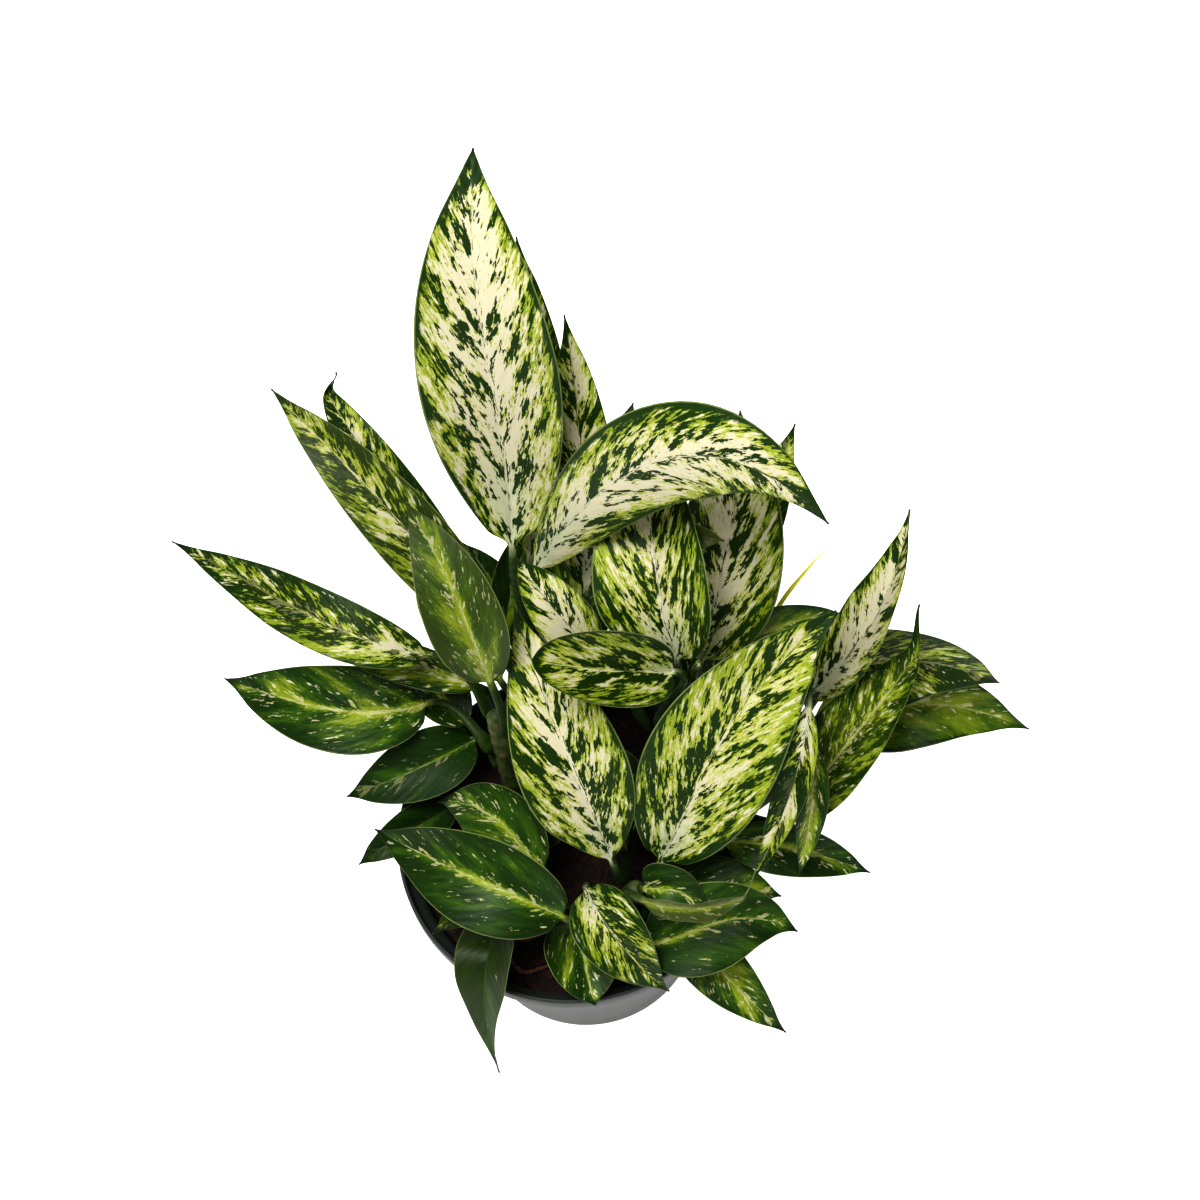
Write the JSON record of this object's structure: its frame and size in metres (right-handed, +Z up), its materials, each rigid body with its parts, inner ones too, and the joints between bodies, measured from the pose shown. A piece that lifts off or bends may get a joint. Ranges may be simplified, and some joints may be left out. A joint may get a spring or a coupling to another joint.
{
  "type": "potted dieffenbachia",
  "caption": "Leafy dieffenbachia houseplant with cream and green blotched leaves on short canes, in a round tapered nursery pot with a stepped rim.",
  "frame": {"origin": "centre of the pot's base, on the floor", "axes": "+Z up, -Y towards the front of the plant, +X to its right seen from the front"},
  "size_m": [0.3926, 0.2989, 0.4213],
  "materials": {
    "pot_plastic": "thin moulded plastic, dark grey-green rim over a mid-grey wall",
    "potting_soil": "damp dark peat and bark chips",
    "cane": "green cane with paler leaf scars",
    "leaf_cream": "cream blade with dark green flecks and a green margin, satin",
    "leaf_mixed": "green blade with cream blotches along the midrib, satin",
    "leaf_green": "dark green blade with a few pale dots and a yellow-green midrib, satin"
  },
  "bodies": {
    "root": {"leaf_back_1": "leaf_cream", "leaf_back_10": "leaf_green", "leaf_back_11": "leaf_green", "leaf_back_12": "leaf_green", "leaf_back_2": "leaf_cream", "leaf_back_3": "leaf_cream", "leaf_back_4": "leaf_cream", "leaf_back_5": "leaf_cream", "leaf_back_6": "leaf_green", "leaf_back_7": "leaf_green", "leaf_back_8": "leaf_cream", "leaf_back_9": "leaf_mixed", "leaf_centre_1": "leaf_cream", "leaf_centre_2": "leaf_cream", "leaf_centre_3": "leaf_cream", "leaf_centre_4": "leaf_mixed", "leaf_centre_5": "leaf_mixed", "leaf_centre_6": "leaf_mixed", "leaf_centre_7": "leaf_cream", "leaf_centre_8": "leaf_green", "leaf_centre_9": "leaf_green", "leaf_front_1": "leaf_cream", "leaf_front_2": "leaf_cream", "leaf_front_3": "leaf_cream", "leaf_front_4": "leaf_green", "leaf_front_5": "leaf_mixed", "leaf_front_6": "leaf_green", "leaf_front_7": "leaf_mixed", "leaf_front_8": "leaf_green", "leaf_front_9": "leaf_green", "leaf_front_left_1": "leaf_green", "leaf_front_left_2": "leaf_green", "leaf_front_left_3": "leaf_green", "leaf_front_left_4": "leaf_green", "leaf_front_left_5": "leaf_green", "leaf_front_left_6": "leaf_mixed", "leaf_front_left_7": "leaf_green", "leaf_left_1": "leaf_mixed", "leaf_left_2": "leaf_mixed", "leaf_left_3": "leaf_mixed", "leaf_left_4": "leaf_green", "leaf_left_5": "leaf_green", "leaf_left_6": "leaf_green", "leaf_left_7": "leaf_green", "leaf_right_1": "leaf_green", "leaf_right_2": "leaf_cream", "leaf_right_3": "leaf_mixed", "leaf_right_4": "leaf_mixed", "leaf_right_5": "leaf_green", "leaf_right_6": "leaf_mixed", "leaf_right_7": "leaf_mixed", "leaf_right_8": "leaf_green", "pot": "pot_plastic", "soil": "potting_soil", "stem_back": "cane", "stem_centre": "cane", "stem_front": "cane", "stem_front_left": "cane", "stem_left": "cane", "stem_right": "cane"}
  },
  "joints": []
}
